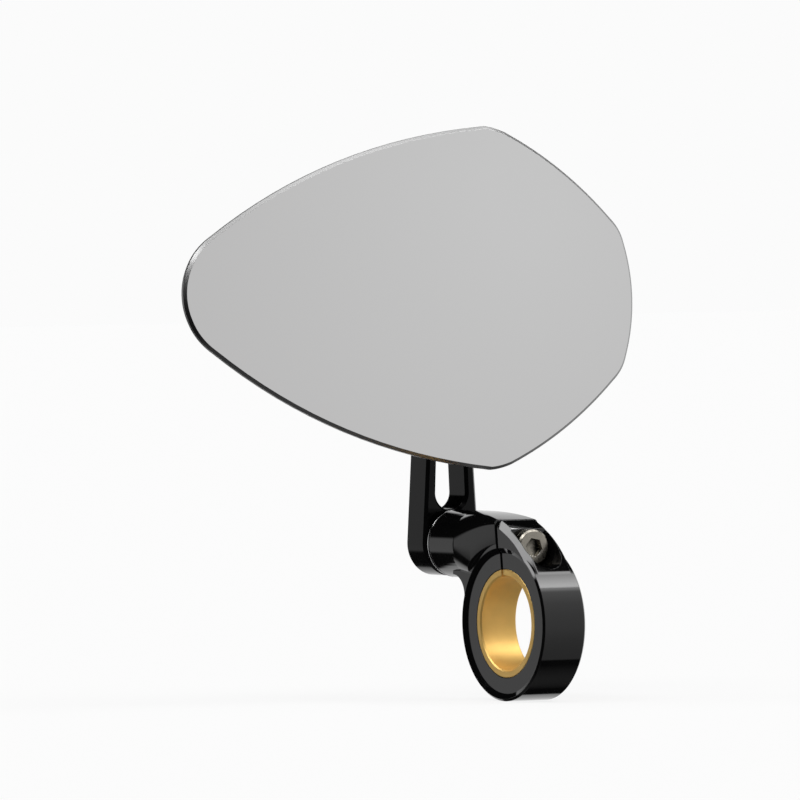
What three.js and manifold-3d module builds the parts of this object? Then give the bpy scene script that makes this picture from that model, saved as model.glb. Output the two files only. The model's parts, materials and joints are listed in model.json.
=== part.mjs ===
// Bar-end mirror: split ring clamp, swivelling hairpin arm, ball-jointed rimless mirror head.
// Millimetres. X runs along the bar, -Y is the side the mirror faces, +Z is up.
// The origin is on the bar axis at the middle of the clamp ring.
import * as THREE from 'three';
import { mergeVertices } from 'three/addons/utils/BufferGeometryUtils.js';
import Module from 'manifold-3d';

const wasm = await Module();
wasm.setup();

// Clamp ring
const BORE_R = 12.8;
const RING_R = 18.2;
const RING_HALF = 5.9;
const FLOOR_HALF = 4.95;
const FLOOR_R = 16.45;
const RIDGE_R = 17.7;
const RING_CHAMFER = 0.5;
const SLIT_WIDTH = 0.95;
const SLIT_LEAN = THREE.MathUtils.degToRad(5.9);

// Lug, shoulder and stub
const LUG_TIP = [2.6, 24.3];
const LUG_FOOT = [-15.1, 9.95];
const LUG_HANDLES = [[-4.84, 21.29], [-9.15, 19.19]];
const LUG_BACK = [4.3, 5];
const LUG_CHAMFER = 1.4;
const LUG_FLAT = 18.25;
const LUG_FLAT_LEAN = THREE.MathUtils.degToRad(44);
const LUG_RIB_X = -4.3;
const STUB_Z = 18;
const STUB_R = 8.0;
const STUB_END = 29.0;
const SHOULDER_START = 2.3;
const SHOULDER_END = 19.2;
const SHOULDER_TOP = 24.05;
const STEP_R = 18.75;
const WEB_HALF = 5.2;

// Clamp screw, M5
const CLAMP_SCREW_Z = 17.8;
const CLAMP_SCREW_FACE = -5.0;
const POCKET_R = 4.8;
const POCKET_SEAT = -2.4;

// Reducer sleeve
const SLEEVE_IN_R = 11;
const SLEEVE_OUT_R = 12.7;

// Arm
const ARM_FRONT = 31.4;
const ARM_BACK = 39.7;
const ARM_CHAMFER = 0.7;
const ARM_BOSS_R = 7.7;
const ARM_LEAN = 0.06;
const FRONT_BOSS_R = 6.5;
const FRONT_BOSS = 29.65;
const PIVOT_SINK = 34.8;
const WAIST_HALF = 5.5;
const WAIST_Z = 54;
const JAW_HALF = 9.2;
const JAW_TOP_HALF = 3.5;
const JAW_TOP = 8.6;
const JAW_SHOULDER = 3.5;
const JAW_FOOT_Z = 60.8;
const JAW_GAP = 0.8;
const JAW_FRONT = 25.4;
const JAW_SCREW_Y = 33;
const JAW_SCREW_Z = 65.6;

// Mirror head
const FACE_POINT = [0, 13.75, 76.03];
const BALL_DEPTH = 17;
const HEAD_TILT = THREE.MathUtils.degToRad(3.66);
const HEAD_ROLL = THREE.MathUtils.degToRad(1.53);
const BALL_R = 5;
const PLATE_RIGHT = 40.17;
const BALL_Y = FACE_POINT[1] + BALL_DEPTH * Math.cos(HEAD_TILT);
const BALL_Z = FACE_POINT[2] - BALL_DEPTH * Math.sin(HEAD_TILT);
const HUB_SCREW_CIRCLE = 6.8;

// Hexagon sockets, turned from upright
const SOCKET_TURN = THREE.MathUtils.degToRad(12);

// ---------------------------------------------------------------- solids

function signedVolume(points, index) {
  let total = 0;
  const corner = [0, 1, 2].map(() => new THREE.Vector3());
  for (let i = 0; i < index.length; i += 3) {
    corner.forEach((v, k) => v.fromArray(points, index[i + k] * 3));
    total += corner[0].dot(corner[1].clone().cross(corner[2])) / 6;
  }
  return total;
}

function solid(geometry) {
  const bare = geometry.clone();
  bare.deleteAttribute('normal');
  bare.deleteAttribute('uv');
  const merged = mergeVertices(bare, 1e-4);
  const points = merged.attributes.position.array;
  const kept = [];
  const index = merged.index.array;
  for (let i = 0; i < index.length; i += 3) {
    const [a, b, c] = [index[i], index[i + 1], index[i + 2]];
    if (a !== b && b !== c && c !== a) kept.push(a, b, c);
  }
  if (signedVolume(points, kept) < 0) kept.reverse();
  return new wasm.Manifold(new wasm.Mesh({
    numProp: 3,
    vertProperties: new Float32Array(points),
    triVerts: new Uint32Array(kept),
  }));
}

function geometryOf(body) {
  const mesh = body.getMesh();
  const geometry = new THREE.BufferGeometry();
  geometry.setAttribute('position', new THREE.BufferAttribute(mesh.vertProperties, 3));
  geometry.setIndex(new THREE.BufferAttribute(mesh.triVerts, 1));
  const flat = geometry.toNonIndexed();
  flat.computeVertexNormals();
  return flat;
}

// Profile of [radius, height] points turned about the Y axis.
function turnedY(profile, segments = 24) {
  return new THREE.LatheGeometry(profile.map(([r, h]) => new THREE.Vector2(r, h)), segments);
}

function turnedX(profile, segments = 24) {
  return turnedY(profile, segments).rotateZ(-Math.PI / 2);
}

function rodY(radius, from, to, segments = 24) {
  return turnedY([[0, from], [radius, from], [radius, to], [0, to]], segments);
}

function rodX(radius, from, to, segments = 24) {
  return rodY(radius, from, to, segments).rotateZ(-Math.PI / 2);
}

function tubeY(inner, outer, from, to, segments = 24) {
  return turnedY([[inner, from], [outer, from], [outer, to], [inner, to], [inner, from]], segments);
}

function tubeX(inner, outer, from, to, segments = 24) {
  return tubeY(inner, outer, from, to, segments).rotateZ(-Math.PI / 2);
}

function box(x0, x1, y0, y1, z0, z1) {
  const shape = new THREE.BoxGeometry(x1 - x0, y1 - y0, z1 - z0);
  return shape.translate((x0 + x1) / 2, (y0 + y1) / 2, (z0 + z1) / 2);
}

// Outline in (y, z) extruded along X from -half to +half, with chamfered edges.
function slabX(shape, half, chamfer, curveSegments = 12) {
  const geometry = new THREE.ExtrudeGeometry(shape, {
    depth: 2 * (half - chamfer),
    bevelEnabled: chamfer > 0,
    bevelSize: chamfer,
    bevelOffset: -chamfer,
    bevelThickness: chamfer,
    bevelSegments: 1,
    curveSegments,
  });
  geometry.translate(0, 0, chamfer - half);
  geometry.rotateY(Math.PI / 2);
  return geometry.rotateX(Math.PI / 2);
}

// Outline in (x, z) extruded along Y from front to back, with chamfered edges.
function slabY(shape, front, back, chamfer, curveSegments = 12) {
  const geometry = new THREE.ExtrudeGeometry(shape, {
    depth: back - front - 2 * chamfer,
    bevelEnabled: chamfer > 0,
    bevelSize: chamfer,
    bevelOffset: -chamfer,
    bevelThickness: chamfer,
    bevelSegments: 1,
    curveSegments,
  });
  geometry.rotateX(Math.PI / 2);
  return geometry.translate(0, back - chamfer, 0);
}

// ---------------------------------------------------------------- clamp

function slitCutter() {
  const cutter = box(-12, 12, -SLIT_WIDTH / 2, SLIT_WIDTH / 2, 8, 32);
  return solid(cutter.rotateX(-SLIT_LEAN));
}

function ringBlank() {
  const edge = RING_HALF - RING_CHAMFER;
  return turnedX([
    [0, -RING_HALF], [RIDGE_R, -RING_HALF], [RING_R, -edge],
    [RING_R, edge], [RIDGE_R, RING_HALF], [0, RING_HALF],
  ], 48);
}

function lugBlank() {
  const shape = new THREE.Shape();
  shape.moveTo(-3, 4);
  shape.lineTo(...LUG_BACK);
  shape.lineTo(LUG_BACK[0], LUG_BACK[1] + 18);
  shape.lineTo(...LUG_TIP);
  shape.bezierCurveTo(...LUG_HANDLES[0], ...LUG_HANDLES[1], ...LUG_FOOT);
  shape.closePath();
  return slabX(shape, RING_HALF, LUG_CHAMFER, 12);
}

// Rounded rectangle in X-Z at one station of the shoulder.
function shoulderSection(y) {
  const t = (y - SHOULDER_START) / (SHOULDER_END - SHOULDER_START);
  const half = THREE.MathUtils.lerp(RING_HALF, STUB_R, t);
  const top = SHOULDER_TOP + (STUB_Z + STUB_R - SHOULDER_TOP) * (1 - (1 - t) ** 2);
  const bottom = STUB_Z - STUB_R;
  const radius = 1 + (STUB_R - 1) * t ** 1.25;
  const perCorner = 6;
  const points = [];
  const corners = [[1, top, -1, 0], [-1, top, -1, 1], [-1, bottom, 1, 2], [1, bottom, 1, 3]];
  for (const [side, level, inward, quarter] of corners) {
    const cx = side * (half - radius);
    const cz = level + inward * radius;
    for (let i = 0; i <= perCorner; i += 1) {
      const angle = (quarter + i / perCorner) * Math.PI / 2;
      points.push([cx + radius * Math.cos(angle), y, cz + radius * Math.sin(angle)]);
    }
  }
  return points;
}

function loft(sections) {
  const count = sections[0].length;
  const points = sections.flat(2);
  const index = [];
  const at = (s, i) => s * count + (i % count);
  for (let s = 0; s + 1 < sections.length; s += 1) {
    for (let i = 0; i < count; i += 1) {
      index.push(at(s, i), at(s, i + 1), at(s + 1, i));
      index.push(at(s, i + 1), at(s + 1, i + 1), at(s + 1, i));
    }
  }
  const last = sections.length - 1;
  for (let i = 1; i + 1 < count; i += 1) {
    index.push(at(0, 0), at(0, i + 1), at(0, i));
    index.push(at(last, 0), at(last, i), at(last, i + 1));
  }
  const geometry = new THREE.BufferGeometry();
  geometry.setAttribute('position', new THREE.Float32BufferAttribute(points, 3));
  geometry.setIndex(index);
  return geometry;
}

function shoulderBlank() {
  const stations = [SHOULDER_START, 4, 7, 10, 13, 16, 18, SHOULDER_END];
  return loft(stations.map(shoulderSection));
}

function webBlank() {
  const fillet = { y: 22.7, z: 6, r: 5 };
  const shape = new THREE.Shape();
  shape.moveTo(fillet.y, fillet.z + fillet.r);
  shape.absarc(fillet.y, fillet.z, fillet.r, Math.PI / 2, 1.12 * Math.PI, false);
  shape.lineTo(14.5, 5);
  shape.lineTo(14.5, 14);
  shape.lineTo(fillet.y, 14);
  shape.closePath();
  return slabX(shape, WEB_HALF, 0, 10);
}

// Everything proud of the ring's face inside this turned cutter goes, and the face is recessed.
function faceCutter() {
  const profile = [
    [0, FLOOR_HALF], [FLOOR_R, FLOOR_HALF], [RIDGE_R, RING_HALF], [STEP_R, RING_HALF],
    [STEP_R, 10], [0, 10], [0, FLOOR_HALF],
  ];
  return solid(turnedX(profile, 48));
}

// Flat on the front of the lug, to the right of the rib that is left along its left edge.
function lugFlatCutter() {
  return solid(box(LUG_RIB_X, 8, -10, 14, LUG_FLAT, 27).rotateX(LUG_FLAT_LEAN));
}

function pocketCutter() {
  const round = solid(rodY(POCKET_R, -20, POCKET_SEAT, 28).translate(0, 0, CLAMP_SCREW_Z));
  const open = solid(box(-POCKET_R, POCKET_R, -20, POCKET_SEAT, CLAMP_SCREW_Z, 32));
  return round.add(open);
}

function clampBody() {
  const stub = solid(turnedY([
    [0, SHOULDER_END - 1], [STUB_R, SHOULDER_END - 1], [STUB_R, STUB_END - 0.3],
    [STUB_R - 0.3, STUB_END], [0, STUB_END],
  ], 32).translate(0, 0, STUB_Z));
  let body = solid(ringBlank()).add(solid(lugBlank())).add(solid(shoulderBlank()));
  body = body.add(stub).add(solid(webBlank()));
  const right = faceCutter();
  const left = right.mirror([1, 0, 0]);
  body = body.subtract(right).subtract(left);
  body = body.subtract(solid(rodX(BORE_R, -20, 20, 48)));
  body = body.subtract(lugFlatCutter()).subtract(slitCutter()).subtract(pocketCutter());
  const alongClampScrew = (r, a, b) => solid(rodY(r, a, b, 24).translate(0, 0, CLAMP_SCREW_Z));
  body = body.subtract(alongClampScrew(2.75, -4, 15)).subtract(alongClampScrew(3.8, 5.0, 13.8));
  const alongStub = (r, a, b) => solid(rodY(r, a, b, 24).translate(0, 0, STUB_Z));
  body = body.subtract(alongStub(2.75, 17.2, 31)).subtract(alongStub(3.8, 18.6, 26.2));
  return body.subtract(alongStub(4.4, 26.8, 31));
}

function reducerSleeve() {
  const half = FLOOR_HALF;
  const chamfer = 0.3;
  const tube = solid(turnedX([
    [SLEEVE_IN_R, -half + chamfer], [SLEEVE_IN_R + chamfer, -half], [SLEEVE_OUT_R, -half],
    [SLEEVE_OUT_R, half], [SLEEVE_IN_R + chamfer, half], [SLEEVE_IN_R, half - chamfer],
    [SLEEVE_IN_R, -half + chamfer],
  ], 48));
  return tube.subtract(slitCutter());
}

// Socket screw with its head face at y = 0 and its shank towards +Y.
function capScrew({ headR, head, shankR, length, socket, socketDepth }) {
  const blank = solid(turnedY([
    [0, 0], [headR - 0.5, 0], [headR, 0.5], [headR, head], [shankR, head],
    [shankR, length - 0.5], [shankR - 0.5, length], [0, length],
  ], 24));
  const hexR = socket / Math.sqrt(3);
  const hex = new THREE.CylinderGeometry(hexR, hexR, socketDepth * 2, 6).rotateY(SOCKET_TURN);
  return blank.subtract(solid(hex));
}

function springWasher() {
  return turnedY([[2.9, 0.5], [3.0, 0.0], [4.7, 0.3], [4.7, 0.9], [2.9, 0.5]], 24);
}

// ---------------------------------------------------------------- arm

// Rounded top of the jaws, from their right side over to their left side.
function jawTop() {
  const shape = new THREE.Shape();
  const shoulder = BALL_Z + JAW_SHOULDER;
  const top = BALL_Z + JAW_TOP;
  shape.moveTo(JAW_HALF, shoulder);
  shape.quadraticCurveTo(JAW_HALF, top, JAW_TOP_HALF, top);
  shape.lineTo(-JAW_TOP_HALF, top);
  shape.quadraticCurveTo(-JAW_HALF, top, -JAW_HALF, shoulder);
  return shape;
}

function armOutline() {
  const shape = jawTop();
  shape.lineTo(-JAW_HALF, WAIST_Z + 7);
  shape.quadraticCurveTo(-JAW_HALF, WAIST_Z + 3.5, -WAIST_HALF, WAIST_Z);
  shape.lineTo(-ARM_BOSS_R * Math.cos(ARM_LEAN), STUB_Z + ARM_BOSS_R * Math.sin(ARM_LEAN));
  shape.absarc(0, STUB_Z, ARM_BOSS_R, Math.PI - ARM_LEAN, 2 * Math.PI + ARM_LEAN, false);
  shape.lineTo(WAIST_HALF, WAIST_Z);
  shape.quadraticCurveTo(JAW_HALF, WAIST_Z + 3.5, JAW_HALF, WAIST_Z + 7);
  shape.closePath();
  return shape;
}

function slotOutline() {
  const bottom = { z: 29.9, r: 4.1 };
  const shape = new THREE.Shape();
  shape.moveTo(bottom.r, bottom.z);
  shape.lineTo(3, 57);
  shape.quadraticCurveTo(JAW_GAP, 59.5, JAW_GAP, 62);
  shape.lineTo(JAW_GAP, 90);
  shape.lineTo(-JAW_GAP, 90);
  shape.lineTo(-JAW_GAP, 62);
  shape.quadraticCurveTo(-JAW_GAP, 59.5, -3, 57);
  shape.lineTo(-bottom.r, bottom.z);
  shape.absarc(0, bottom.z, bottom.r, Math.PI, 2 * Math.PI, false);
  return shape;
}

// Slot through the arm that widens by the chamfer at the front and back faces.
function slotCutter() {
  const through = solid(slabY(slotOutline(), 20, 45, 0, 10));
  const flareAt = (y) => {
    const geometry = new THREE.ExtrudeGeometry(slotOutline(), {
      depth: 0.01, bevelEnabled: true, bevelSize: ARM_CHAMFER, bevelThickness: ARM_CHAMFER,
      bevelSegments: 1, curveSegments: 10,
    });
    geometry.rotateX(Math.PI / 2);
    return solid(geometry.translate(0, y, 0));
  };
  return through.add(flareAt(ARM_FRONT)).add(flareAt(ARM_BACK));
}

function jawBlock() {
  const shape = jawTop();
  shape.lineTo(-JAW_HALF, JAW_FOOT_Z);
  shape.lineTo(JAW_HALF, JAW_FOOT_Z);
  shape.closePath();
  return solid(slabY(shape, JAW_FRONT, ARM_BACK, ARM_CHAMFER, 6));
}

function mirrorArm() {
  const blank = solid(slabY(armOutline(), ARM_FRONT, ARM_BACK, ARM_CHAMFER, 12));
  const boss = solid(rodY(FRONT_BOSS_R, FRONT_BOSS, ARM_FRONT + 1, 32).translate(0, 0, STUB_Z));
  let body = blank.add(jawBlock()).add(boss).subtract(slotCutter());
  body = body.subtract(solid(box(-4, 4, 20, BALL_Y - 3, 55, 90)));
  const ballRoom = new THREE.SphereGeometry(BALL_R + 0.5, 20, 12);
  body = body.subtract(solid(ballRoom.translate(0, BALL_Y, BALL_Z)));
  body = body.subtract(solid(rodX(4.8, -7.4, 7.4, 24).translate(0, BALL_Y, BALL_Z)));
  const alongJawScrew = (r, a, b) => solid(rodX(r, a, b, 20).translate(0, JAW_SCREW_Y, JAW_SCREW_Z));
  body = body.subtract(alongJawScrew(2.3, -12, 12));
  body = body.subtract(alongJawScrew(3.9, -12, -4.9)).subtract(alongJawScrew(3.9, 5.3, 12));
  const alongPivot = (r, a, b) => solid(rodY(r, a, b, 24).translate(0, 0, STUB_Z));
  return body.subtract(alongPivot(4.4, 29, 41)).subtract(alongPivot(5.4, PIVOT_SINK, 41));
}

// Seat turned about X, spherical face towards the ball centre at the origin.
function ballSeat() {
  const reach = BALL_R + 0.12;
  const spread = THREE.MathUtils.degToRad(42);
  const steps = 6;
  const profile = [[0, reach]];
  for (let i = 1; i <= steps; i += 1) {
    const angle = spread * i / steps;
    profile.push([reach * Math.sin(angle), reach * Math.cos(angle)]);
  }
  profile.push([4.6, profile[steps][1]], [4.6, 7.1], [0, 7.1]);
  return turnedX(profile, 24);
}

// ---------------------------------------------------------------- mirror head, about the ball centre

// Upper half of the plate's edge from the right middle to the left tip, about the face point.
const PLATE_EDGE = [
  [[40.17, 6.84], [38.0, 13.51]],
  [[37.17, 16.72], [34.44, 19.12]],
  [[22.0, 31.58], [5.62, 39.06]],
  [[2.55, 40.22], [-0.21, 40.42]],
  [[-42.38, 36.44], [-75.32, 13.62]],
  [[-79.75, 10.83], [-81.67, 6.74]],
  [[-83.3, 3.47], [-83.3, 0]],
];

function plateOutline() {
  const shape = new THREE.Shape();
  shape.moveTo(PLATE_RIGHT, 0);
  for (const [control, end] of PLATE_EDGE) {
    shape.quadraticCurveTo(control[0], control[1], end[0], end[1]);
  }
  for (let i = PLATE_EDGE.length - 1; i >= 0; i -= 1) {
    const [control] = PLATE_EDGE[i];
    const end = i > 0 ? PLATE_EDGE[i - 1][1] : [PLATE_RIGHT, 0];
    shape.quadraticCurveTo(control[0], -control[1], end[0], -end[1]);
  }
  return shape;
}

// Flat plate with its outline pulled in by insets at successive depths [[y, inset], ...].
function plate(levels) {
  const outline = plateOutline().getPoints(5).slice(0, -1);
  const count = outline.length;
  const inward = outline.map((p, i) => {
    const before = outline[(i + count - 1) % count];
    const after = outline[(i + 1) % count];
    return new THREE.Vector2(-(after.y - before.y), after.x - before.x).normalize();
  });
  const ring = (y, inset) => outline.map((p, i) => [
    p.x + inward[i].x * inset, y, p.y + inward[i].y * inset,
  ]);
  return solid(loft(levels.map(([y, inset]) => ring(y, inset))));
}

function reflector() {
  return plate([[-17, 0.7], [-16.4, 0], [-15.6, 0], [-15.2, 0.4]]);
}

function bondFilm() {
  return plate([[-15.1, 3.0], [-14.9, 3.0]]);
}

const HUB_SCREW_ANGLES = [90, 210, 330].map(THREE.MathUtils.degToRad);

function atHubScrews(make) {
  return HUB_SCREW_ANGLES.map((angle) => make().translate(
    HUB_SCREW_CIRCLE * Math.cos(angle), 0, HUB_SCREW_CIRCLE * Math.sin(angle),
  ));
}

function backShell() {
  let body = plate([[-14.8, 2.2], [-14.2, 2.2], [-12.2, 5.0]]);
  for (const hole of atHubScrews(() => rodY(1.45, -14.0, -12, 16))) body = body.subtract(solid(hole));
  return body;
}

function backHub() {
  let body = solid(turnedY([
    [2.5, -9.2], [8.9, -9.2], [9.6, -9.9], [9.6, -12.1], [4.8, -12.1], [4.8, -10.3], [2.5, -10.3], [2.5, -9.2],
  ], 32));
  const sink = () => turnedY([[0, -13], [1.45, -13], [1.45, -10.6], [2.55, -9.2], [2.55, -8], [0, -8]], 16);
  for (const hole of atHubScrews(sink)) body = body.subtract(solid(hole));
  return body;
}

function hubScrew() {
  const blank = solid(turnedY([
    [0, -13.6], [0.9, -13.6], [1.2, -13.3], [1.2, -10.7], [2.2, -9.5], [2.2, -9.3], [0, -9.3],
  ], 16));
  const hex = new THREE.CylinderGeometry(0.95, 0.95, 1.4, 6).translate(0, -9.3, 0);
  return geometryOf(blank.subtract(solid(hex)));
}

function ballStud() {
  const neckR = 2.1;
  const profile = [[0, -12.0], [1.9, -12.0], [2.2, -11.7], [2.2, -8.5], [3.6, -8.5], [3.6, -7.2], [neckR, -7.2]];
  const first = Math.asin(neckR / BALL_R);
  const steps = 9;
  for (let i = 0; i <= steps; i += 1) {
    const angle = first + (Math.PI - first) * i / steps;
    profile.push([i === steps ? 0 : BALL_R * Math.sin(angle), -BALL_R * Math.cos(angle)]);
  }
  return turnedY(profile, 24);
}

function lockNut() {
  const nut = new THREE.CylinderGeometry(4.2, 4.2, 1.3, 6).translate(0, -11.2, 0);
  return solid(nut).subtract(solid(rodY(2.35, -13, -9, 20)));
}

// ---------------------------------------------------------------- assembly

const LOOKS = {
  black: { color: 0x141415, roughness: 0.22, metalness: 0.6 },
  steel: { color: 0xa9a59b, roughness: 0.3, metalness: 1.0 },
  gold: { color: 0xc29a5c, roughness: 0.32, metalness: 1.0 },
  brass: { color: 0xb08d4f, roughness: 0.4, metalness: 1.0 },
  mirror: { color: 0xc4c4c4, roughness: 0.03, metalness: 1.0 },
  shell: { color: 0x3a3b3d, roughness: 0.35, metalness: 0.5 },
  seat: { color: 0x2a2a2c, roughness: 0.55, metalness: 0.0 },
  film: { color: 0x1a1a1a, roughness: 0.8, metalness: 0.0 },
};

function mesh(name, geometry, look) {
  const made = new THREE.Mesh(geometry, new THREE.MeshStandardMaterial(LOOKS[look]));
  made.name = name;
  made.material.name = `${name}_material`;
  return made;
}

function turnedMesh(name, geometry, look) {
  return mesh(name, geometryOf(solid(geometry)), look);
}

const clamp = new THREE.Group();
clamp.name = 'clamp';
clamp.add(mesh('clamp_body', geometryOf(clampBody()), 'black'));
clamp.add(mesh('reducer_sleeve', geometryOf(reducerSleeve()), 'gold'));
const clampScrew = capScrew({ headR: 4.25, head: 2.45, shankR: 2.45, length: 19, socket: 4, socketDepth: 1.7 });
clamp.add(mesh('clamp_screw',
  geometryOf(clampScrew.translate([0, CLAMP_SCREW_FACE, CLAMP_SCREW_Z])), 'steel'));
clamp.add(turnedMesh('clamp_thread_insert',
  tubeY(2.7, 3.6, 5.2, 13.6, 20).translate(0, 0, CLAMP_SCREW_Z), 'steel'));
clamp.add(turnedMesh('pivot_thread_insert', tubeY(2.7, 3.6, 18.8, 26.0, 20).translate(0, 0, STUB_Z), 'steel'));

const onPivot = (geometry) => geometry.translate(0, 0, STUB_Z);
clamp.add(turnedMesh('pivot_friction_washer', onPivot(tubeY(4.6, 8.0, 29.1, 29.5, 32)), 'steel'));
clamp.add(turnedMesh('pivot_bush', onPivot(tubeY(2.75, 4.2, 27.0, 34.7)), 'brass'));
clamp.add(turnedMesh('pivot_flat_washer', onPivot(tubeY(2.8, 5.1, 35.0, 35.7)), 'steel'));
clamp.add(turnedMesh('pivot_spring_washer', onPivot(springWasher().translate(0, 35.9, 0)), 'steel'));
const pivotScrew = capScrew({ headR: 4.25, head: 2.4, shankR: 2.45, length: 20, socket: 4, socketDepth: 1.7 });
clamp.add(mesh('pivot_screw',
  geometryOf(pivotScrew.rotate([180, 0, 0]).translate([0, ARM_BACK - 0.3, STUB_Z])), 'steel'));

const arm = new THREE.Group();
arm.name = 'arm';
arm.add(mesh('mirror_arm', geometryOf(mirrorArm()), 'black'));
const onJaw = (geometry) => geometry.translate(0, JAW_SCREW_Y, JAW_SCREW_Z);
const jawScrew = capScrew({ headR: 3.4, head: 2.6, shankR: 1.95, length: 17.3, socket: 2.5, socketDepth: 1.6 });
arm.add(mesh('jaw_screw',
  geometryOf(jawScrew.rotate([0, 0, -90]).translate([-8.9, JAW_SCREW_Y, JAW_SCREW_Z])), 'steel'));
arm.add(turnedMesh('jaw_washer', onJaw(tubeX(2.2, 3.6, -6.1, -5.2, 24)), 'steel'));
arm.add(turnedMesh('jaw_nut', onJaw(tubeX(2.1, 3.6, 5.5, 8.8, 24)), 'steel'));

const ballPlace = (geometry) => geometry.translate(0, BALL_Y, BALL_Z);
const seats = new THREE.Group();
seats.name = 'ball_seats';
seats.add(turnedMesh('ball_seat_left', ballPlace(ballSeat().rotateZ(Math.PI)), 'seat'));
seats.add(turnedMesh('ball_seat_right', ballPlace(ballSeat()), 'seat'));

const head = new THREE.Group();
head.name = 'mirror_head';
head.add(turnedMesh('ball_stud', ballStud(), 'steel'));
head.add(turnedMesh('roll_washer', tubeY(2.4, 3.6, -9.05, -8.65), 'brass'));
head.add(mesh('stud_lock_nut', geometryOf(lockNut()), 'steel'));
head.add(mesh('back_hub', geometryOf(backHub()), 'shell'));
atHubScrews(hubScrew).forEach((geometry, i) => head.add(mesh(`hub_screw_${i + 1}`, geometry, 'steel')));
head.add(mesh('back_shell', geometryOf(backShell()), 'shell'));
head.add(mesh('bond_film', geometryOf(bondFilm()), 'film'));
head.add(mesh('reflector', geometryOf(reflector()), 'mirror'));
head.rotation.set(-HEAD_TILT, HEAD_ROLL, 0, 'XYZ');
head.position.set(0, BALL_Y, BALL_Z);

const group = new THREE.Group();
group.name = 'bike_mirror';
group.add(clamp, arm, seats, head);

export default group;
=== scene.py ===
import json
import math

import bmesh
import bpy
from mathutils import Matrix, Vector


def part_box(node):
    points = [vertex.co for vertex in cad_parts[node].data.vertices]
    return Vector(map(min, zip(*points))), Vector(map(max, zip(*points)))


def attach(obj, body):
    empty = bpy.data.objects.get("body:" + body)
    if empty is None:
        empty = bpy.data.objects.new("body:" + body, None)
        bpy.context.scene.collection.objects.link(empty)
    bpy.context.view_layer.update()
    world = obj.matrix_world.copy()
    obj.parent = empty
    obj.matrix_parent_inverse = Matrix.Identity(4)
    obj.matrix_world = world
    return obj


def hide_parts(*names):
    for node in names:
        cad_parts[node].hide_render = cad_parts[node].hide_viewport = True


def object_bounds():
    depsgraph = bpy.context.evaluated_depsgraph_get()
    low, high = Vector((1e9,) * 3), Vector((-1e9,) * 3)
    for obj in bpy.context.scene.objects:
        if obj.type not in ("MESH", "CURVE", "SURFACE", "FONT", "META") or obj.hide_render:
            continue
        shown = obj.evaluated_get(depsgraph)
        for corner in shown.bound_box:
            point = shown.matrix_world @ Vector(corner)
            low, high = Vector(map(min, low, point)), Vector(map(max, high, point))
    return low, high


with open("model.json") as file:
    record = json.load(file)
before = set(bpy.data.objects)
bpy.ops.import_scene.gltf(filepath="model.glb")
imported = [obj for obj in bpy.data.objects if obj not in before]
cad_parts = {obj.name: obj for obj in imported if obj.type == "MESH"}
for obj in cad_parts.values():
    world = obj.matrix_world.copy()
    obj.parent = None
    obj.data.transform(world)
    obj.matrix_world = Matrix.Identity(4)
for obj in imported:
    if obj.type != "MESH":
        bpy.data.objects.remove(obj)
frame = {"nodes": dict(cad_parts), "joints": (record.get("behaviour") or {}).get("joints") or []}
cad_low, cad_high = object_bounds()
scene = bpy.context.scene

# ------------------------------------------------------------------ places, in millimetres
# Pieces are made in millimetres and scaled to metres when they are placed.

MM = 0.001
JOINTS = {joint["name"]: joint for joint in frame["joints"]}


def joint_point(name):
    return Vector(JOINTS[name]["pos_m"]) / MM


def node_box(name):
    low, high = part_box(name)
    return low / MM, high / MM


def node_centre(name):
    low, high = node_box(name)
    return (low + high) / 2


STUB_Z = joint_point("arm_swivel").z
BALL = joint_point("head_tilt")
HEAD_AXIS = Vector(JOINTS["head_roll"]["axis"])
HEAD_TILT = math.atan2(-HEAD_AXIS.z, HEAD_AXIS.y)
HEAD_ROLL = math.radians(1.53)
SCREW = node_centre("clamp_screw")
JAW_SCREW = node_centre("jaw_screw")
SCREW_AXIS = Vector((SCREW.x, 0, SCREW.z))
STUB_AXIS = Vector((0, 0, STUB_Z))
JAW_AXIS = Vector((0, JAW_SCREW.y, JAW_SCREW.z))

# Clamp: radii of the ring are about the bar's axis, radii of the stub about the arm's pivot
BORE_R = 12.8
RING_R = 18.2
RING_HALF = 5.9
FLOOR_HALF = 4.95
FLOOR_R = 16.45
RIDGE_R = 17.7
RING_CHAMFER = 0.5
SLIT_WIDTH = 0.95
SLIT_LEAN = math.radians(5.9)
LUG_CURVE = ((2.6, 24.3), (-4.84, 21.29), (-9.15, 19.19), (-15.1, 9.95))
LUG_BACK = (4.3, 5.0)
LUG_CHAMFER = 1.4
LUG_FLAT = 18.25
LUG_FLAT_LEAN = math.radians(44)
LUG_RIB_X = -4.3
STUB_R = 8.0
STUB_END = 29.0
SHOULDER_START, SHOULDER_END = 2.3, 19.2
SHOULDER_TOP = 24.05
STEP_R = 18.75
WEB_HALF = 5.2
WEB_CENTRE, WEB_R = (22.7, 6.0), 5.0
WEB_TOP, WEB_BACK = 14.0, 14.5
POCKET_R = 4.8
POCKET_SEAT = -2.4
SCREW_HOLE_R = 2.75
INSERT_HOLE_R = 3.8
BUSH_HOLE_R = 4.4
SLEEVE_IN_R, SLEEVE_OUT_R = 11.0, 12.7
SLEEVE_IN_CHAMFER, SLEEVE_OUT_CHAMFER = 0.35, 0.12
THROUGH = 20.0

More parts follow.
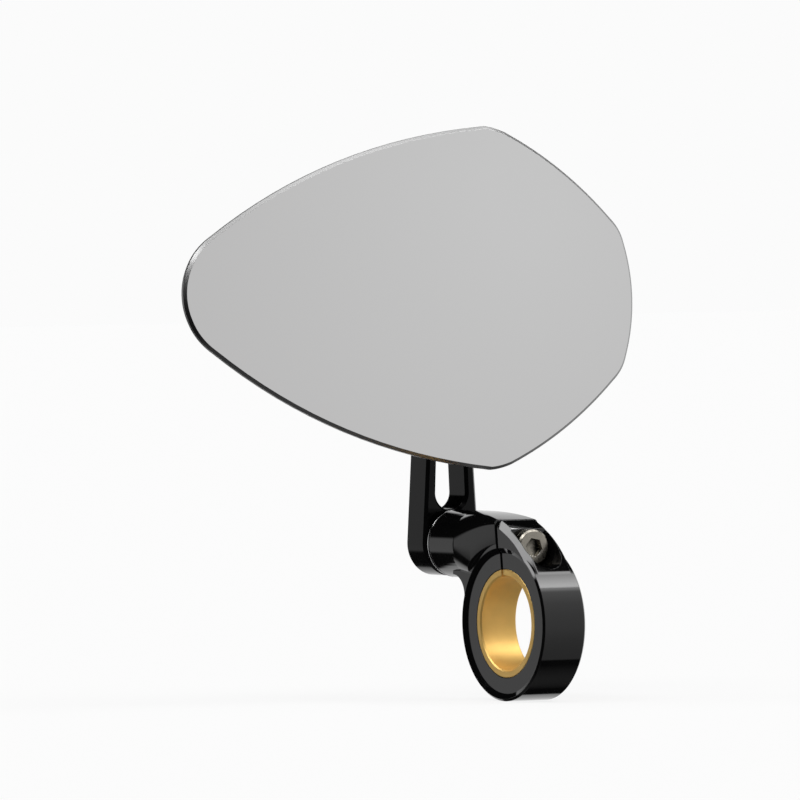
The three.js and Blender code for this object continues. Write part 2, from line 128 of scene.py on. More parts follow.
# Arm
ARM_FRONT = 31.4
ARM_BACK = 39.7
ARM_CHAMFER = 0.7
ARM_BOSS_R = 7.7
ARM_LEAN = 0.06
FRONT_BOSS_R = 6.5
FRONT_BOSS = 29.65
WAIST_HALF = 5.5
WAIST_Z = 54.0
JAW_HALF = 9.2
JAW_FRONT = 25.4
JAW_FOOT_Z = 60.8
JAW_TOP_HALF = 3.5
SLOT_R, SLOT_FOOT_Z = 4.1, 29.9
SLOT_HALF, SLIT_HALF = 3.0, 0.8
PIVOT_SINK_R, PIVOT_SINK = 5.4, 34.8
JAW_HOLE_R, JAW_SINK_R = 2.3, 3.9
SEAT_R, SEAT_END = 4.6, 7.1
SEAT_SPREAD = math.radians(42)

# Head, about the ball centre
BALL_R = 5.0
NECK_R = 2.1
HUB_SCREW_CIRCLE = 6.8

# Socket screws: head radius, head height, shank radius, socket width and socket depth
CLAMP_SCREW_SIZES = (4.25, 2.45, 2.45, 4.0, 1.5)
PIVOT_SCREW_SIZES = (4.25, 2.4, 2.45, 4.0, 1.2)
JAW_SCREW_SIZES = (3.4, 2.6, 1.95, 2.5, 1.2)
SOCKET_TURN = math.radians(12)
KNURLS = 48

# Turned pieces: inner radius, outer radius, and the two ends along their axis
FRICTION_WASHER = (4.6, 8.0, 29.1, 29.5)
PIVOT_BUSH = (2.75, 4.2, 27.0, 34.7)
PIVOT_WASHER = (2.8, 5.1, 35.0, 35.7)
JAW_WASHER = (2.2, 3.6, -6.1, -5.2)
ROLL_WASHER = (2.4, 3.6, -9.05, -8.65)


# ------------------------------------------------------------------ mesh tools, in millimetres

def new_object(name, points, faces):
    mesh = bpy.data.meshes.new(name)
    mesh.from_pydata([tuple(p) for p in points], [], faces)
    work = bmesh.new()
    work.from_mesh(mesh)
    bmesh.ops.remove_doubles(work, verts=work.verts, dist=1e-5)
    bmesh.ops.dissolve_degenerate(work, edges=work.edges, dist=1e-6)
    bmesh.ops.recalc_face_normals(work, faces=work.faces)
    if work.calc_volume(signed=True) < 0:
        bmesh.ops.reverse_faces(work, faces=work.faces)
    work.to_mesh(mesh)
    work.free()
    obj = bpy.data.objects.new(name, mesh)
    scene.collection.objects.link(obj)
    return obj


def fillet(points, radius, closed=True, steps=4, only=None):
    """Rounds the corners of a flat path; points on the turning axis stay as they are."""
    out = []
    count = len(points)
    for i, p in enumerate(points):
        here = Vector(p)
        if (not closed and i in (0, count - 1)) or (only is not None and i not in only):
            out.append(tuple(here))
            continue
        before = Vector(points[i - 1]) - here
        after = Vector(points[(i + 1) % count]) - here
        turn = before.angle(after)
        if turn > math.pi - 0.05:
            out.append(tuple(here))
            continue
        reach = min(radius / math.tan(turn / 2), before.length * 0.45, after.length * 0.45)
        start, end = here + before.normalized() * reach, here + after.normalized() * reach
        for k in range(steps + 1):
            t = k / steps
            q = start * (1 - t) ** 2 + here * (2 * t * (1 - t)) + end * t ** 2
            out.append(tuple(q))
    return out


def on_circle(axis, radius, along, angle, centre):
    c, s = math.cos(angle) * radius, math.sin(angle) * radius
    local = Vector((along, c, s)) if axis == "X" else Vector((c, along, s))
    return local + centre


def lathe(name, profile, axis="Y", centre=(0, 0, 0), segments=96):
    """Profile of (radius, height): a closed loop, or an open line that starts and ends on the axis."""
    centre = Vector(centre)
    rings, points = [], []
    for radius, along in profile:
        if radius < 1e-6:
            rings.append([len(points)] * segments)
            points.append(on_circle(axis, 0, along, 0, centre))
        else:
            rings.append(list(range(len(points), len(points) + segments)))
            turns = [2 * math.pi * k / segments for k in range(segments)]
            points += [on_circle(axis, radius, along, turn, centre) for turn in turns]
    closed = profile[0][0] > 1e-6
    faces = []
    for i in range(len(rings) if closed else len(rings) - 1):
        a, b = rings[i], rings[(i + 1) % len(rings)]
        for k in range(segments):
            n = (k + 1) % segments
            corners = list(dict.fromkeys([a[k], a[n], b[n], b[k]]))
            if len(corners) > 2:
                faces.append(corners)
    return new_object(name, points, faces)


def rod(name, radius, low, high, axis="Y", centre=(0, 0, 0), segments=96):
    return lathe(name, [(0, low), (radius, low), (radius, high), (0, high)], axis, centre, segments)


def loft(name, sections):
    """Skin over sections with equal numbers of points, closed at both ends."""
    count = len(sections[0])
    points = [p for section in sections for p in section]
    faces = [list(range(count))[::-1], [(len(sections) - 1) * count + k for k in range(count)]]
    for s in range(len(sections) - 1):
        for k in range(count):
            n = (k + 1) % count
            low, high = s * count, (s + 1) * count
            faces.append([low + k, low + n, high + n, high + k])
    return new_object(name, points, faces)


def inset(outline, amount):
    """Moves a closed flat outline, anticlockwise, inwards."""
    count = len(outline)
    out = []
    for i, p in enumerate(outline):
        before, after = Vector(outline[i - 1]), Vector(outline[(i + 1) % count])
        here = Vector(p)
        a, b = (here - before).normalized(), (after - here).normalized()
        na, nb = Vector((-a.y, a.x)), Vector((-b.y, b.x))
        mid = (na + nb).normalized()
        out.append(tuple(here + mid * (amount / max(0.3, mid.dot(na)))))
    return out


def slab(name, outline, axis, levels):
    """Outline lofted along an axis through levels of (position, inset)."""
    def point(p, at):
        return (at, p[0], p[1]) if axis == "X" else (p[0], at, p[1])
    return loft(name, [[point(p, at) for p in inset(outline, by)] for at, by in levels])


def chamfered(low, high, chamfer):
    return [(low, chamfer), (low + chamfer, 0), (high - chamfer, 0), (high, chamfer)]


def block(name, low, high):
    xs, ys, zs = zip(low, high)
    corners = [(x, y, z) for x in xs for y in ys for z in zs]
    faces = [(0, 1, 3, 2), (4, 6, 7, 5), (0, 4, 5, 1), (2, 3, 7, 6), (0, 2, 6, 4), (1, 5, 7, 3)]
    return new_object(name, corners, faces)


def curve(start, control, end, steps):
    """Points after start on a quadratic curve."""
    start, control, end = Vector(start), Vector(control), Vector(end)
    ts = [(k + 1) / steps for k in range(steps)]
    return [tuple(start * (1 - t) ** 2 + control * (2 * t * (1 - t)) + end * t ** 2) for t in ts]


def cubic(start, first, second, end, steps):
    """Points after start on a cubic curve."""
    start, first, second, end = Vector(start), Vector(first), Vector(second), Vector(end)
    out = []
    for k in range(steps):
        t = (k + 1) / steps
        u = 1 - t
        out.append(tuple(start * u ** 3 + first * (3 * t * u * u) + second * (3 * t * t * u) + end * t ** 3))
    return out


def arc(centre, radius, start, end, steps):
    """Points on a circle from one angle to another, both ends included."""
    angles = [start + (end - start) * k / steps for k in range(steps + 1)]
    return [(centre[0] + radius * math.cos(a), centre[1] + radius * math.sin(a)) for a in angles]


def combine(target, others, operation):
    """Boolean of the target with each of the others, which are used up."""
    for other in others:
        modifier = target.modifiers.new("combine", "BOOLEAN")
        modifier.operation = operation
        modifier.solver = "MANIFOLD"
        modifier.object = other
        graph = bpy.context.evaluated_depsgraph_get()
        made = bpy.data.meshes.new_from_object(target.evaluated_get(graph))
        target.modifiers.clear()
        old = target.data
        target.data = made
        bpy.data.meshes.remove(old)
        bpy.data.objects.remove(other)
    return target


def cut(target, *others):
    return combine(target, others, "DIFFERENCE")


def join(target, *others):
    return combine(target, others, "UNION")


def place(obj, body, finish, replaces=(), head=False, smooth=28):
    """Turns the head pieces into place, scales to metres, and gives shading, body and finish."""
    if head:
        turn = Matrix.Rotation(-HEAD_TILT, 4, "X") @ Matrix.Rotation(HEAD_ROLL, 4, "Y")
        obj.data.transform(Matrix.Translation(BALL) @ turn)
    obj.data.transform(Matrix.Scale(MM, 4))
    obj.data.polygons.foreach_set("use_smooth", [True] * len(obj.data.polygons))
    obj.data.set_sharp_from_angle(angle=math.radians(smooth))
    obj.data.materials.clear()
    obj.data.materials.append(finish)
    obj.data.update()
    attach(obj, body)
    if replaces:
        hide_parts(*replaces)
    return obj


# ------------------------------------------------------------------ finishes

def node(tree, kind, **values):
    made = tree.nodes.new(kind)
    for key, value in values.items():
        if key in made.inputs:
            made.inputs[key].default_value = value
        else:
            setattr(made, key, value)
    return made


def stretched(tree, scale):
    """Object coordinates, in metres, scaled by a vector."""
    place_in = node(tree, "ShaderNodeTexCoord")
    mapping = node(tree, "ShaderNodeMapping")
    mapping.inputs["Scale"].default_value = scale
    tree.links.new(place_in.outputs["Object"], mapping.inputs["Vector"])
    return mapping.outputs["Vector"]


def noise(tree, scale, detail=3.0, roughness=0.55):
    made = node(tree, "ShaderNodeTexNoise", Scale=1.0, Detail=detail, Roughness=roughness)
    tree.links.new(stretched(tree, scale), made.inputs["Vector"])
    return made.outputs["Fac"]


def ranged(tree, value, low, high, from_low=0.3, from_high=0.7):
    made = node(tree, "ShaderNodeMapRange")
    made.inputs["From Min"].default_value = from_low
    made.inputs["From Max"].default_value = from_high
    made.inputs["To Min"].default_value = low
    made.inputs["To Max"].default_value = high
    tree.links.new(value, made.inputs["Value"])
    return made.outputs["Result"]


def edge_mask(tree, radius):
    """1 on convex and concave edges, 0 on open faces, with the rounded normal it comes from."""
    bevel = node(tree, "ShaderNodeBevel", Radius=radius)
    bevel.samples = 6
    geometry = node(tree, "ShaderNodeNewGeometry")
    dot = node(tree, "ShaderNodeVectorMath", operation="DOT_PRODUCT")
    tree.links.new(bevel.outputs["Normal"], dot.inputs[0])
    tree.links.new(geometry.outputs["Normal"], dot.inputs[1])
    return ranged(tree, dot.outputs["Value"], 1.0, 0.0, 0.86, 0.995), bevel.outputs["Normal"]


def mixed(tree, first, second, factor):
    """Colour between two, each a colour or the output that gives one."""
    made = node(tree, "ShaderNodeMix", data_type="RGBA")
    for socket, color in (("A", first), ("B", second)):
        if isinstance(color, bpy.types.NodeSocket):
            tree.links.new(color, made.inputs[socket])
        else:
            made.inputs[socket].default_value = (*color, 1)
    tree.links.new(factor, made.inputs["Factor"])
    return made.outputs["Result"]


def shaded_in_recesses(tree, color, recess_shade):
    """Painted shade: the colour, darkened by ambient occlusion towards the shade colour inside narrow recesses.
    """
    occlusion = node(tree, "ShaderNodeAmbientOcclusion", Distance=0.0022)
    occlusion.samples = 8
    return mixed(tree, recess_shade, color, ranged(tree, occlusion.outputs["AO"], 0, 1, 0.42, 0.75))


def finish_of(name, color, edge_highlight, metallic, rough, grain, grain_rough, bump, bump_scale, edge=0.00012,
              ior=1.5, patches=0.15, recess_shade=None):
    """A machined or moulded finish.

    color is the open colour and edge_highlight the lighter colour painted on convex and concave edges, a
    painted highlight; patches how much the colour varies, rough the (low, high) roughness, grain and
    grain_rough the noise that varies it, bump the height in metres of the fine relief whose scale is
    bump_scale, edge the radius in metres of the rounded edges, and recess_shade the colour of painted shade
    darkening narrow recesses.
    """
    material = bpy.data.materials.new(name)
    material.use_nodes = True
    tree = material.node_tree
    shader = tree.nodes["Principled BSDF"]
    shader.inputs["Metallic"].default_value = metallic
    shader.inputs["IOR"].default_value = ior
    mask, rounded = edge_mask(tree, edge)
    darker = [c * (1 - patches) for c in color]
    lighter = [min(1, c * (1 + patches)) for c in color]
    shade = mixed(tree, darker, lighter, ranged(tree, noise(tree, (140, 140, 140), 4.0), 0, 1))
    # Painted highlight: the colour goes lighter towards the edge colour on convex and concave edges.
    shade = mixed(tree, shade, edge_highlight, ranged(tree, mask, 0, 0.7, 0.2, 1.0))
    # Painted shade: ambient occlusion darkens narrow recesses towards the shade colour.
    if recess_shade:
        shade = shaded_in_recesses(tree, shade, recess_shade)
    tree.links.new(shade, shader.inputs["Base Color"])
    tree.links.new(ranged(tree, noise(tree, grain, 5.0, grain_rough), *rough), shader.inputs["Roughness"])
    relief = node(tree, "ShaderNodeBump", Strength=1.0, Distance=bump)
    tree.links.new(noise(tree, bump_scale, 4.0, 0.6), relief.inputs["Height"])
    tree.links.new(rounded, relief.inputs["Normal"])
    tree.links.new(relief.outputs["Normal"], shader.inputs["Normal"])
    return material


def anodised_black(name, rough, ior):
    return finish_of(
        name, color=(0.003, 0.003, 0.0031), edge_highlight=(0.02, 0.02, 0.021), metallic=0.0, rough=rough, ior=ior,
        grain=(900, 900, 900), grain_rough=0.6, bump=4e-8, bump_scale=(5200, 5200, 5200))


BLACK = anodised_black("gloss_black_anodised", rough=(0.04, 0.07), ior=1.6)
ARM_BLACK = anodised_black("satin_black_anodised", rough=(0.06, 0.1), ior=1.27)
GOLD = finish_of(
    "gold_anodised", color=(0.84, 0.545, 0.165), edge_highlight=(0.93, 0.74, 0.42), metallic=0.75, rough=(0.40, 0.52),
    grain=(9000, 260, 260), grain_rough=0.7, bump=4e-7, bump_scale=(16000, 500, 500), patches=0.06)
# Satin stainless whose narrow recesses, such as the screw sockets, get painted shade from ambient occlusion.
STEEL = finish_of(
    "satin_stainless", color=(0.46, 0.43, 0.37), edge_highlight=(0.66, 0.64, 0.60), metallic=1.0, rough=(0.22, 0.38),
    grain=(1500, 1500, 1500), grain_rough=0.7, bump=3e-7, bump_scale=(4200, 4200, 4200), patches=0.12,
    recess_shade=(0.055, 0.05, 0.03))
BRIGHT = finish_of(
    "bright_stainless", color=(0.78, 0.78, 0.78), edge_highlight=(0.9, 0.9, 0.9), metallic=1.0, rough=(0.10, 0.2),
    grain=(2000, 2000, 2000), grain_rough=0.6, bump=1e-7, bump_scale=(6000, 6000, 6000), patches=0.04)
BRONZE = finish_of(
    "turned_bronze", color=(0.42, 0.28, 0.11), edge_highlight=(0.6, 0.45, 0.22), metallic=1.0, rough=(0.3, 0.45),
    grain=(1200, 6000, 1200), grain_rough=0.7, bump=5e-7, bump_scale=(900, 12000, 900))
ACETAL = finish_of(
    "black_acetal", color=(0.014, 0.014, 0.015), edge_highlight=(0.03, 0.03, 0.03), metallic=0.0, rough=(0.38, 0.55),
    grain=(1500, 1500, 1500), grain_rough=0.6, bump=2e-6, bump_scale=(3000, 3000, 3000))
SHELL = finish_of(
    "satin_dark_anodised", color=(0.022, 0.022, 0.024), edge_highlight=(0.09, 0.09, 0.092), metallic=0.3,
    rough=(0.26, 0.38), grain=(1800, 1800, 1800), grain_rough=0.7, bump=8e-7, bump_scale=(7000, 7000, 7000))
FILM = finish_of(
    "bond_film", color=(0.01, 0.01, 0.01), edge_highlight=(0.02, 0.02, 0.02), metallic=0.0, rough=(0.6, 0.75),
    grain=(1500, 1500, 1500), grain_rough=0.6, bump=1e-6, bump_scale=(4000, 4000, 4000))


def mirror_finish(centre, reach):
    """Polished face, painted darker away from a point on it as a painted falloff of its reflection, with a
    rougher ground edge whose darker colour is painted shade.
    """
    material = finish_of(
        "polished_plate", color=(0.95, 0.95, 0.95), edge_highlight=(0.97, 0.97, 0.97), metallic=1.0,
        rough=(0.012, 0.02), grain=(60, 60, 60), grain_rough=0.5, bump=2e-9, bump_scale=(400, 400, 400),
        edge=0.00006, patches=0.003)
    tree = material.node_tree
    shader = tree.nodes["Principled BSDF"]
    coordinates = node(tree, "ShaderNodeTexCoord")
    away = node(tree, "ShaderNodeVectorMath", operation="DISTANCE")
    away.inputs[1].default_value = centre * MM
    tree.links.new(coordinates.outputs["Object"], away.inputs[0])
    # Painted reflection falloff: the face's colour darkens with distance from the centre point.
    painted_falloff = ranged(tree, away.outputs["Value"], 0, 1, 0.01, reach * MM)
    face = mixed(tree, (0.955, 0.955, 0.955), (0.83, 0.825, 0.825), painted_falloff)
    facing = node(tree, "ShaderNodeVectorMath", operation="DOT_PRODUCT")
    facing.inputs[1].default_value = -HEAD_AXIS
    tree.links.new(coordinates.outputs["Normal"], facing.inputs[0])
    on_face = ranged(tree, facing.outputs["Value"], 0, 1, 0.9, 0.99)
    # Painted shade: the ground edge's colour drops to 0.42 so that it reflects darker; its roughness, the real
    # ground finish, rises below.
    tree.links.new(mixed(tree, (0.42, 0.42, 0.42), face, on_face), shader.inputs["Base Color"])
    tree.links.new(ranged(tree, facing.outputs["Value"], 0.38, 0.014, 0.9, 0.99), shader.inputs["Roughness"])
    return material


MIRROR = mirror_finish(centre=Vector((11.5, 13.7, 98.8)), reach=115)

# ------------------------------------------------------------------ clamp


def slit_cutter():
    """Leaning slit from the bore up through the lug."""
    cutter = block("slit_cutter", (-12, -SLIT_WIDTH / 2, 8), (12, SLIT_WIDTH / 2, 32))
    cutter.data.transform(Matrix.Rotation(-SLIT_LEAN, 4, "X"))
    return cutter


def ring_blank():
    edge = RING_HALF - RING_CHAMFER
    half = [(0, -RING_HALF), (RIDGE_R, -RING_HALF), (RING_R, -edge)]
    return lathe("clamp_body_look", half + [(r, -x) for r, x in reversed(half)], "X", segments=256)


def lug_blank():
    """Lug over the ring, curved in front; its back edge is inside the shoulder."""
    outline = [(-3, 4), LUG_BACK, (LUG_BACK[0], LUG_BACK[1] + 18), LUG_CURVE[0]] + cubic(*LUG_CURVE, 48)
    return slab("lug", outline, "X", chamfered(-RING_HALF, RING_HALF, LUG_CHAMFER))


def shoulder_section(y):
    """Section of the shoulder, from a rectangle at the lug to the stub's circle."""
    t = (y - SHOULDER_START) / (SHOULDER_END - SHOULDER_START)
    half = RING_HALF + (STUB_R - RING_HALF) * t
    top = SHOULDER_TOP + (STUB_Z + STUB_R - SHOULDER_TOP) * (1 - (1 - t) ** 2)
    bottom = STUB_Z - STUB_R
    radius = 1 + (STUB_R - 1) * t ** 1.25
    corners = [(1, top, -1, 0), (-1, top, -1, 1), (-1, bottom, 1, 2), (1, bottom, 1, 3)]
    points = []
    for side, level, inward, quarter in corners:
        centre = (side * (half - radius), level + inward * radius)
        turn = quarter * math.pi / 2
        points += [(x, y, z) for x, z in arc(centre, radius, turn, turn + math.pi / 2, 14)]
    return points


def shoulder_blank():
    stations = [SHOULDER_START + (SHOULDER_END - SHOULDER_START) * k / 40 for k in range(41)]
    return loft("shoulder", [shoulder_section(y) for y in stations])


def web_blank():
    """Web that fills the corner between the ring and the stub with a hollow curve."""
    outline = [(WEB_CENTRE[0], WEB_TOP), (WEB_BACK, WEB_TOP), (WEB_BACK, 5)]
    outline += arc(WEB_CENTRE, WEB_R, 1.12 * math.pi, math.pi / 2, 40)
    return slab("web", outline, "X", [(-WEB_HALF, 0), (WEB_HALF, 0)])


def face_cutter(side):
    """Sunk flat face of the ring on one side, with a cone up to the ridge round it."""
    profile = [(0, FLOOR_HALF), (FLOOR_R, FLOOR_HALF), (RIDGE_R, RING_HALF), (STEP_R, RING_HALF),
               (STEP_R, 10), (0, 10)]
    return lathe("face_cutter", [(r, side * x) for r, x in profile], "X", segments=256)


def lug_flat_cutter():
    """Flat on the front of the lug, to the right of the rib that is left along its left edge."""
    cutter = block("lug_flat", (LUG_RIB_X, -10, LUG_FLAT), (8, 14, 27))
    cutter.data.transform(Matrix.Rotation(LUG_FLAT_LEAN, 4, "X"))
    return cutter


def pocket_cutter():
    """Pocket round the clamp screw's head, open to the front and upwards."""
    outline = arc((SCREW.x, SCREW.z), POCKET_R, math.pi, 2 * math.pi, 60)
    outline += [(SCREW.x + POCKET_R, 32), (SCREW.x - POCKET_R, 32)]
    return slab("pocket_cutter", outline, "Y", [(-THROUGH, 0), (POCKET_SEAT, 0)])


def clamp_body():
    body = ring_blank()
    edge = 0.3
    stub = lathe("stub", [(0, SHOULDER_END - 1), (STUB_R, SHOULDER_END - 1), (STUB_R, STUB_END - edge),
                          (STUB_R - edge, STUB_END), (0, STUB_END)], "Y", STUB_AXIS, 192)
    join(body, lug_blank(), shoulder_blank(), stub, web_blank())
    cut(body, face_cutter(1), face_cutter(-1), rod("bore", BORE_R, -THROUGH, THROUGH, "X", segments=256))
    cut(body, lug_flat_cutter(), slit_cutter(), pocket_cutter())
    cut(body, rod("clamp_hole", SCREW_HOLE_R, -4, 15, "Y", SCREW_AXIS, 64),
        rod("insert_hole", INSERT_HOLE_R, 5, 13.8, "Y", SCREW_AXIS, 64))
    cut(body, rod("pivot_hole", SCREW_HOLE_R, 17.2, STUB_END + 2, "Y", STUB_AXIS, 64),
        rod("nut_hole", INSERT_HOLE_R, 18.6, 26.2, "Y", STUB_AXIS, 64),
        rod("bush_hole", BUSH_HOLE_R, 26.8, STUB_END + 2, "Y", STUB_AXIS, 96))
    return place(body, "clamp", BLACK, ["clamp_body"])


def reducer_sleeve():
    half = FLOOR_HALF
    right = [(SLEEVE_IN_R, 0), (SLEEVE_IN_R, half - SLEEVE_IN_CHAMFER),
             (SLEEVE_IN_R + SLEEVE_IN_CHAMFER, half), (SLEEVE_OUT_R - SLEEVE_OUT_CHAMFER, half),
             (SLEEVE_OUT_R, half - SLEEVE_OUT_CHAMFER)]
    left = [(r, -x) for r, x in reversed(right[1:])]
    sleeve = lathe("reducer_sleeve_look", right + left, "X", segments=256)
    return place(cut(sleeve, slit_cutter()), "clamp", GOLD, ["reducer_sleeve"])


# ------------------------------------------------------------------ screws and turned pieces

def cap_screw(name, node_name, axis, direction, sizes):
    """Socket screw in the CAD screw's box: direction is the way its shank points along the axis."""
    head_r, head, shank_r, socket, depth = sizes
    low, high = node_box(node_name)
    k = "XY".index(axis)
    length = high[k] - low[k]
    face = low[k] if direction > 0 else high[k]
    here = (low + high) / 2
    here[k] = 0

    def at(distance):
        return face + direction * distance

    outline = [(0, 0.0), (head_r - 0.45, 0.0), (head_r, 0.45), (head_r, head), (shank_r, head),
               (shank_r, length - 0.6), (shank_r - 0.5, length), (0, length)]
    profile = fillet(outline, 0.12, closed=False, only=(1, 2, 3, 5, 6))
    screw = lathe(name, [(r, at(d)) for r, d in profile], axis, here, 144)
    knurl(screw, axis, here, face, direction, head_r, head)
    corner = socket / math.sqrt(3)
    hexagon = lathe("hexagon", [(0, at(-1)), (corner, at(-1)), (corner, at(depth)), (0, at(depth + 0.9))],
                    axis, (0, 0, 0), 6)
    hexagon.data.transform(Matrix.Translation(here) @ Matrix.Rotation(SOCKET_TURN, 4, axis))
    return cut(screw, hexagon)


def knurl(screw, axis, here, face, direction, head_r, head):
    """Fine straight knurl on the side of the head."""
    k = "XY".index(axis)
    for vertex in screw.data.vertices:
        depth = (vertex.co[k] - face) * direction
        across = vertex.co - here
        across[k] = 0
        if 0.3 < depth < head - 0.02 and across.length > head_r - 0.02:
            angle = math.atan2(across.z, across.x if axis == "Y" else across.y)
            vertex.co -= across.normalized() * (0.05 + 0.05 * math.cos(KNURLS * angle))


def tube(inner, outer, low, high):
    return [(inner, low), (outer, low), (outer, high), (inner, high)]


def turned(name, profile, body, finish, axis, centre):
    """Turned piece with broken edges, named after the CAD node it stands for."""
    made = lathe(name + "_look", fillet(profile, 0.08, steps=3), axis, centre, 128)
    return place(made, body, finish, [name])


def clamp_hardware():
    screw = cap_screw("clamp_screw_look", "clamp_screw", "Y", 1, CLAMP_SCREW_SIZES)
    place(screw, "clamp", STEEL, ["clamp_screw"])
    pivot = cap_screw("pivot_screw_look", "pivot_screw", "Y", -1, PIVOT_SCREW_SIZES)
    place(pivot, "clamp", STEEL, ["pivot_screw"])
    for name, sizes, finish, slot in (
            ("pivot_friction_washer", FRICTION_WASHER, BRIGHT, "bright_washer"),
            ("pivot_bush", PIVOT_BUSH, BRONZE, "bronze"),
            ("pivot_flat_washer", PIVOT_WASHER, STEEL, "stainless")):
        turned(name, tube(*sizes), "clamp", finish, "Y", STUB_AXIS)
    split = fillet([(2.95, 35.95), (4.7, 36.2), (4.7, 36.8), (2.95, 36.5)], 0.08, steps=3)
    spring = lathe("pivot_spring_washer_look", split, "Y", STUB_AXIS, 128)
    cut(spring, block("washer_gap", (-0.35, 30, STUB_Z + 2), (0.35, 41, STUB_Z + 6)))
    place(spring, "clamp", STEEL, ["pivot_spring_washer"])


# ------------------------------------------------------------------ arm

def jaw_top():
    """Rounded top of the jaws, from their right side over to their left side."""
    top, shoulder = BALL.z + 8.6, BALL.z + 3.5
    half, flat = JAW_HALF, JAW_TOP_HALF
    points = [(half, shoulder)] + curve((half, shoulder), (half, top), (flat, top), 16)
    return points + [(-flat, top)] + curve((-flat, top), (-half, top), (-half, shoulder), 16)


def arm_outline():
    """Jaws, waist and round foot, anticlockwise."""
    low, mid, high = WAIST_Z, WAIST_Z + 3.5, WAIST_Z + 7
    points = jaw_top()
    points += [(-JAW_HALF, high)] + curve((-JAW_HALF, high), (-JAW_HALF, mid), (-WAIST_HALF, low), 12)
    points += arc((0, STUB_Z), ARM_BOSS_R, math.pi - ARM_LEAN, 2 * math.pi + ARM_LEAN, 64)
    points += [(WAIST_HALF, low)] + curve((WAIST_HALF, low), (JAW_HALF, mid), (JAW_HALF, high), 12)
    return points


def jaw_outline():
    return jaw_top() + [(-JAW_HALF, JAW_FOOT_Z), (JAW_HALF, JAW_FOOT_Z)]


def slot_outline():
    """Long slot with a round foot that narrows to the slit between the jaws."""
    wide, slit = SLOT_HALF, SLIT_HALF
    points = arc((0, SLOT_FOOT_Z), SLOT_R, math.pi, 2 * math.pi, 48)
    points += [(wide, 57)] + curve((wide, 57), (slit, 59.5), (slit, 62), 8)
    points += [(slit, 90), (-slit, 90), (-slit, 62)] + curve((-slit, 62), (-slit, 59.5), (-wide, 57), 8)
    return points


def slot_flare(name, y, way):
    """Chamfer round the slot, on the arm's face at y that looks the given way."""
    levels = [(y - way * ARM_CHAMFER, 0.0), (y, -ARM_CHAMFER), (y + way, -ARM_CHAMFER)]
    return slab(name, slot_outline(), "Y", levels)


def ball_room():
    """Ball-shaped room for the ball between the jaws."""
    radius, steps = BALL_R + 0.5, 32
    turns = [math.pi * k / steps for k in range(1, steps)]
    profile = [(radius * math.sin(a), BALL.y - radius * math.cos(a)) for a in turns]
    profile = [(0, BALL.y - radius)] + profile + [(0, BALL.y + radius)]
    return lathe("ball_room", profile, "Y", (0, 0, BALL.z), 64)


def mirror_arm():
    arm = slab("mirror_arm_look", arm_outline(), "Y", chamfered(ARM_FRONT, ARM_BACK, ARM_CHAMFER))
    join(arm, slab("jaws", jaw_outline(), "Y", chamfered(JAW_FRONT, ARM_BACK, ARM_CHAMFER)))
    boss = [(0, FRONT_BOSS), (FRONT_BOSS_R - 0.3, FRONT_BOSS), (FRONT_BOSS_R, FRONT_BOSS + 0.3),
            (FRONT_BOSS_R, ARM_FRONT + 1), (0, ARM_FRONT + 1)]
    join(arm, lathe("front_boss", boss, "Y", STUB_AXIS, 128))
    cut(arm, slab("slot", slot_outline(), "Y", [(20, 0), (45, 0)]))
    cut(arm, slot_flare("flare_front", ARM_FRONT, -1), slot_flare("flare_back", ARM_BACK, 1))
    cut(arm, block("mouth", (-4, 20, 55), (4, BALL.y - 3, 90)))
    cut(arm, ball_room(), rod("seat_bore", SEAT_R + 0.2, -SEAT_END - 0.3, SEAT_END + 0.3, "X", BALL, 96))
    cut(arm, rod("jaw_hole", JAW_HOLE_R, -12, 12, "X", JAW_AXIS, 48),
        rod("head_sink", JAW_SINK_R, -12, -4.9, "X", JAW_AXIS, 96),
        rod("nut_sink", JAW_SINK_R, 5.3, 12, "X", JAW_AXIS, 96))
    cut(arm, rod("pivot_hole", BUSH_HOLE_R, 29, 41, "Y", STUB_AXIS, 96),
        rod("pivot_sink", PIVOT_SINK_R, PIVOT_SINK, 41, "Y", STUB_AXIS, 128))
    return place(arm, "arm", ARM_BLACK, ["mirror_arm"])


def arm_hardware():
    screw = cap_screw("jaw_screw_look", "jaw_screw", "X", 1, JAW_SCREW_SIZES)
    place(screw, "arm", STEEL, ["jaw_screw"])
    nut = [(2.1, 5.5), (3.6, 5.5), (3.6, 8.8), (2.6, 8.8), (2.1, 8.3)]
    for name, profile in (("jaw_washer", tube(*JAW_WASHER)), ("jaw_nut", nut)):
        turned(name, profile, "arm", STEEL, "X", JAW_AXIS)


def ball_seat(side):
    """Round pad in a jaw, with a bowl that fits the ball; side is 1 for the right one, -1 for the left."""
    name = "ball_seat_right" if side > 0 else "ball_seat_left"
    reach, edge = BALL_R + 0.12, 0.12
    turns = [SEAT_SPREAD * k / 16 for k in range(17)]
    bowl = [(reach * math.sin(a), side * reach * math.cos(a)) for a in turns]
    rim = bowl[-1][1]
    profile = bowl + [(SEAT_R - edge, rim), (SEAT_R, rim + side * edge), (SEAT_R, side * (SEAT_END - edge)),
                      (SEAT_R - edge, side * SEAT_END), (0, side * SEAT_END)]
    made = lathe(name + "_look", profile, "X", BALL, 96)
    return place(made, "seats", ACETAL, [name])


# ------------------------------------------------------------------ mirror head, about the ball centre

# The plate's upper edge from its right end to its left end, as quadratic curves of (control, end); the lower
# edge is its mirror image.
PLATE_RIGHT = 40.17
PLATE_EDGE = [
    ((40.17, 6.84), (38.0, 13.51)),
    ((37.17, 16.72), (34.44, 19.12)),
    ((22.0, 31.58), (5.62, 39.06)),
    ((2.55, 40.22), (-0.21, 40.42)),
    ((-42.38, 36.44), (-75.32, 13.62)),
    ((-79.75, 10.83), (-81.67, 6.74)),
    ((-83.3, 3.47), (-83.3, 0.0)),
]


